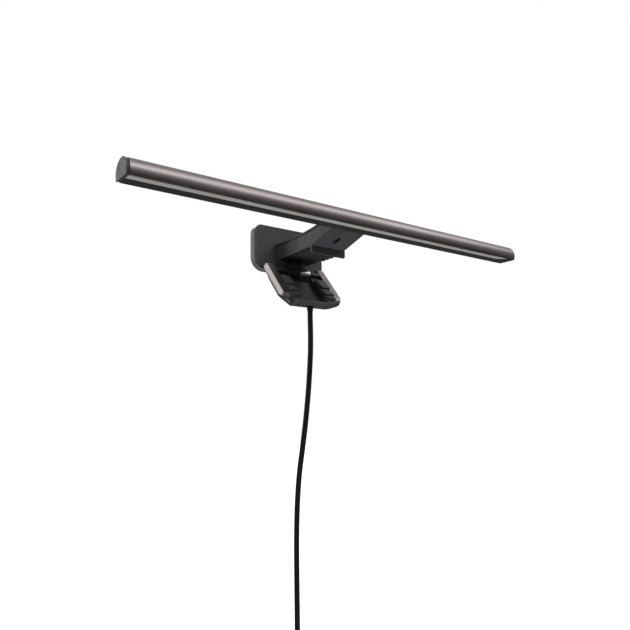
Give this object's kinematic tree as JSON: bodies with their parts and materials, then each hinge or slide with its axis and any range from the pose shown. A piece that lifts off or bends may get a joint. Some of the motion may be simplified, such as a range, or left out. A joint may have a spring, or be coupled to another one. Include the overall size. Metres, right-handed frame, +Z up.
{
  "type": "monitor light bar",
  "caption": "Long tilting light bar on an arm that rests on a monitor's top edge, with a rear light box, a sprung rear jaw and a USB lead.",
  "frame": {"origin": "middle of the monitor's top front edge: the grip pad's ridges rest on the monitor's top face at Z 0 and the front lip's back lies on the screen's front face at Y 0", "axes": "+X along the bar to the user's right, +Y from the user towards the monitor's back, +Z up"},
  "size_m": [0.5, 0.1513, 0.5919],
  "materials": {
    "anodised_taupe": "satin anodised, warm taupe",
    "charcoal_plastic": "fine texture",
    "light_charcoal_plastic": "fine texture",
    "black_plastic": "fine texture",
    "frosted_plastic": "frosted, translucent",
    "window_plastic": "dark tinted, polished",
    "bright_steel": "satin turned",
    "dark_steel": "blackened",
    "bronze": "sintered",
    "grip_rubber": "matt",
    "jaw_rubber": "matt",
    "board_white": "white solder mask",
    "board_green": "green solder mask",
    "led_phosphor": "yellow phosphor",
    "cable_jacket": "smooth matt jacket"
  },
  "bodies": {
    "arm": {"tilt_bush": "bronze", "arm_frame": "bright_steel", "arm_shell": "charcoal_plastic", "arm_top_cover": "charcoal_plastic", "grip_pad": "grip_rubber", "lip_pad": "grip_rubber", "sensor_lens": "window_plastic", "sensor_board": "board_green", "frame_screws": "dark_steel", "arm_lead": "cable_jacket", "box_screws": "dark_steel", "rear_plate": "charcoal_plastic", "rear_cover": "light_charcoal_plastic", "rear_diffuser": "frosted_plastic", "rear_led_board": "board_white", "rear_led_chips": "led_phosphor", "control_board": "board_green", "cover_screws": "dark_steel", "hinge_sleeve": "black_plastic", "spring_barrel": "bright_steel", "torsion_spring": "dark_steel", "hinge_pin": "bright_steel"},
    "bar": {"bar_housing": "anodised_taupe", "end_cap_left": "charcoal_plastic", "end_cap_right": "anodised_taupe", "bar_tray": "black_plastic", "diffuser": "frosted_plastic", "led_board": "board_white", "led_chips": "led_phosphor", "driver_board": "board_green", "bearing_left": "black_plastic", "bearing_right": "black_plastic", "tilt_axle": "bright_steel", "friction_washers": "bright_steel"},
    "jaw": {"jaw_shell": "anodised_taupe", "jaw_foot": "charcoal_plastic", "jaw_body": "black_plastic", "pad_left": "jaw_rubber", "pad_right": "jaw_rubber", "jaw_weights": "bright_steel", "jaw_lead": "cable_jacket", "jaw_screws": "dark_steel", "cord_gland": "cable_jacket", "usb_cord": "cable_jacket", "cord_coil": "cable_jacket", "coil_tie": "grip_rubber", "usb_plug_body": "cable_jacket", "usb_plug_shell": "bright_steel"}
  },
  "joints": [
    {"name": "bar_tilt", "type": "hinge", "parent": "arm", "child": "bar", "pos_m": [0, -0.0515, 0.0192], "axis": [1, 0, 0], "range_deg": [-15, 20]},
    {"name": "jaw_swing", "type": "hinge", "parent": "arm", "child": "jaw", "pos_m": [0, 0.0588, -0.0122], "axis": [1, 0, 0], "range_deg": [0, 50], "stiffness_Nm_per_rad": 0.12, "springref_deg": -28.65}
  ]
}
